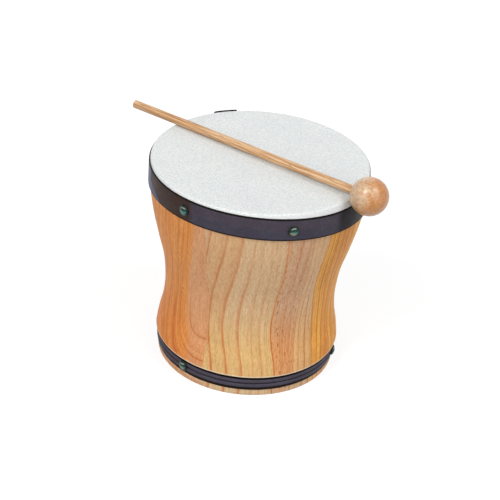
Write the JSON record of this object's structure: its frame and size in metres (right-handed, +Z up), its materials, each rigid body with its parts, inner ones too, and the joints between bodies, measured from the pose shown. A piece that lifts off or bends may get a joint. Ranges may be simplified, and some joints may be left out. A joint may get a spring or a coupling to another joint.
{
  "type": "hand drum with beater",
  "caption": "Waisted hand drum of the bongo kind: a tacked skin head on a glued wooden shell, with a ball-ended wooden beater lying across it.",
  "frame": {"origin": "middle of the footprint of the drum with its beater, at the level of the foot; the drum's own axis is 6.8 mm from it along +X", "axes": "+Z up along the drum's axis, +X along the beater from its free end to its ball"},
  "size_m": [0.2304, 0.169, 0.1856],
  "materials": {
    "shell_wood": "varnished pine",
    "head": "matt off-white skin",
    "band": "satin black vinyl",
    "tack": "green lacquered steel",
    "beater_wood": "waxed hardwood"
  },
  "bodies": {
    "drum": {"stave_front": "shell_wood", "stave_right": "shell_wood", "stave_back": "shell_wood", "stave_left": "shell_wood", "head_skin": "head", "upper_band": "band", "band_cover_strip": "band", "ribbed_band": "band", "upper_tack_1": "tack", "upper_tack_2": "tack", "upper_tack_3": "tack", "upper_tack_4": "tack", "upper_tack_5": "tack", "upper_tack_6": "tack", "lower_tack_1": "tack", "lower_tack_2": "tack", "lower_tack_3": "tack"},
    "beater": {"beater_ball": "beater_wood", "beater_dowel": "beater_wood"}
  },
  "joints": [
    {"name": "beater_lift", "type": "slide", "parent": "drum", "child": "beater", "axis": [0, 0, 1], "range_m": [0, 0.12]}
  ]
}
